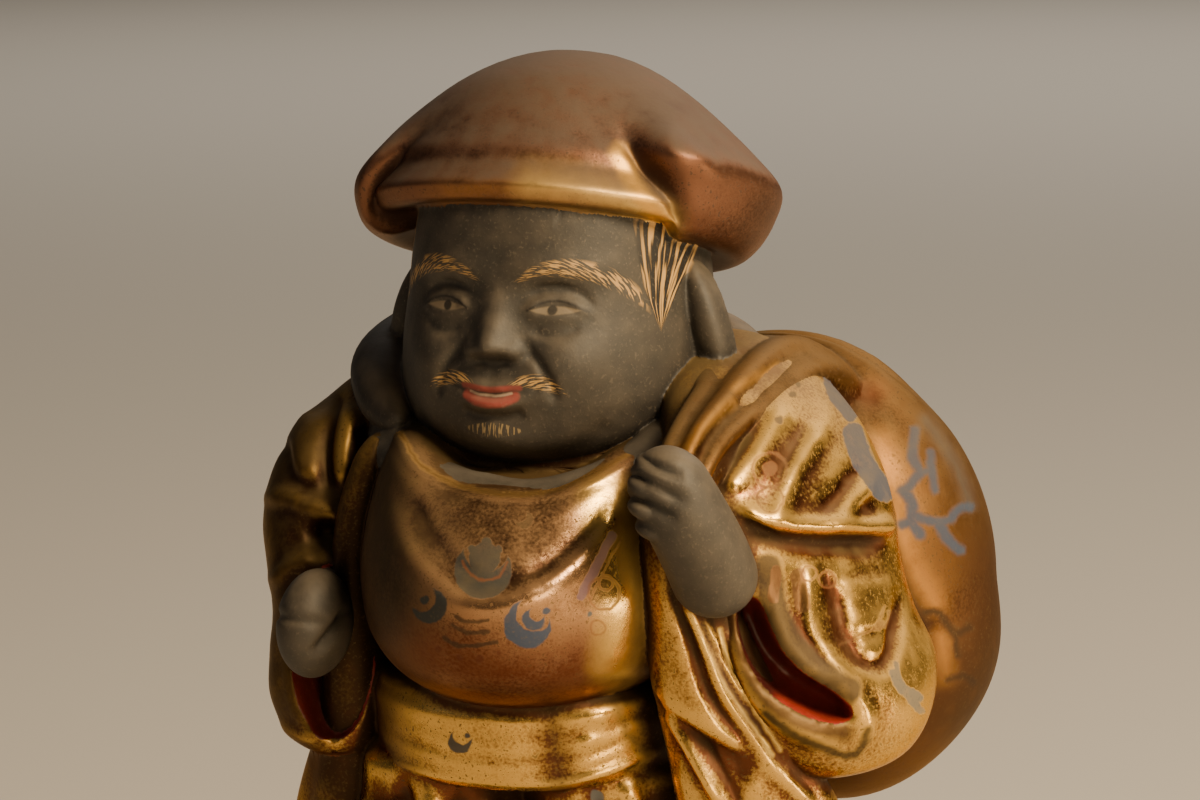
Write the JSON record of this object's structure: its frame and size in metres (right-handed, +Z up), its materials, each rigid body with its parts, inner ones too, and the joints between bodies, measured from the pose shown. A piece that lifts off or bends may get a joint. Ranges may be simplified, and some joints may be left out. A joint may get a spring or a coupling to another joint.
{
  "type": "daikoku figure",
  "caption": "Standing carved figure of the god of plenty in a soft hat and open coat, one fist raised to hold the sack over his shoulder, on a low base.",
  "frame": {"origin": "centre of the underside of the base", "axes": "+Z up; the figure faces -Y; +X is the figure's own left, the side of the sack"},
  "size_m": [0.0775, 0.0699, 0.1295],
  "materials": {
    "gilded_lacquered_wood": "worn gold lacquer over carved wood, with a dark matt painted head and hands and small painted motifs",
    "dark_lacquered_wood": "dark brown lacquer, satin"
  },
  "bodies": {
    "root": {"figure": "gilded_lacquered_wood", "base": "dark_lacquered_wood"}
  },
  "joints": []
}
